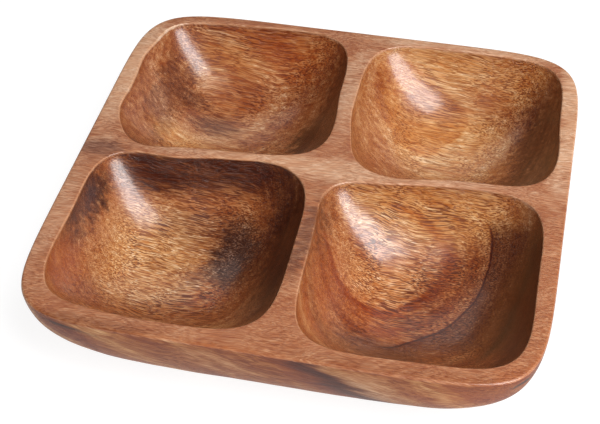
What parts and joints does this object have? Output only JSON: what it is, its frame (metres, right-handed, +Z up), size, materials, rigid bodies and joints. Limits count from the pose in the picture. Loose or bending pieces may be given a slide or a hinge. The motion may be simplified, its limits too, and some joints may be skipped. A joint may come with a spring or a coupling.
{
  "type": "chip and dip server",
  "caption": "Square chip and dip server carved from one block of hardwood: open bowls side by side in a flat rim, over an underside that curves in to a flat base.",
  "frame": {"origin": "under the middle of the rim, on the plane that the flat base rests on", "axes": "+Z up out of the bowls, +X to the right and +Y to the back as seen from the front"},
  "size_m": [0.254, 0.254, 0.05],
  "materials": {
    "wood": "satin oiled and lacquered"
  },
  "bodies": {
    "root": {"carved_tray": "wood"}
  },
  "joints": []
}
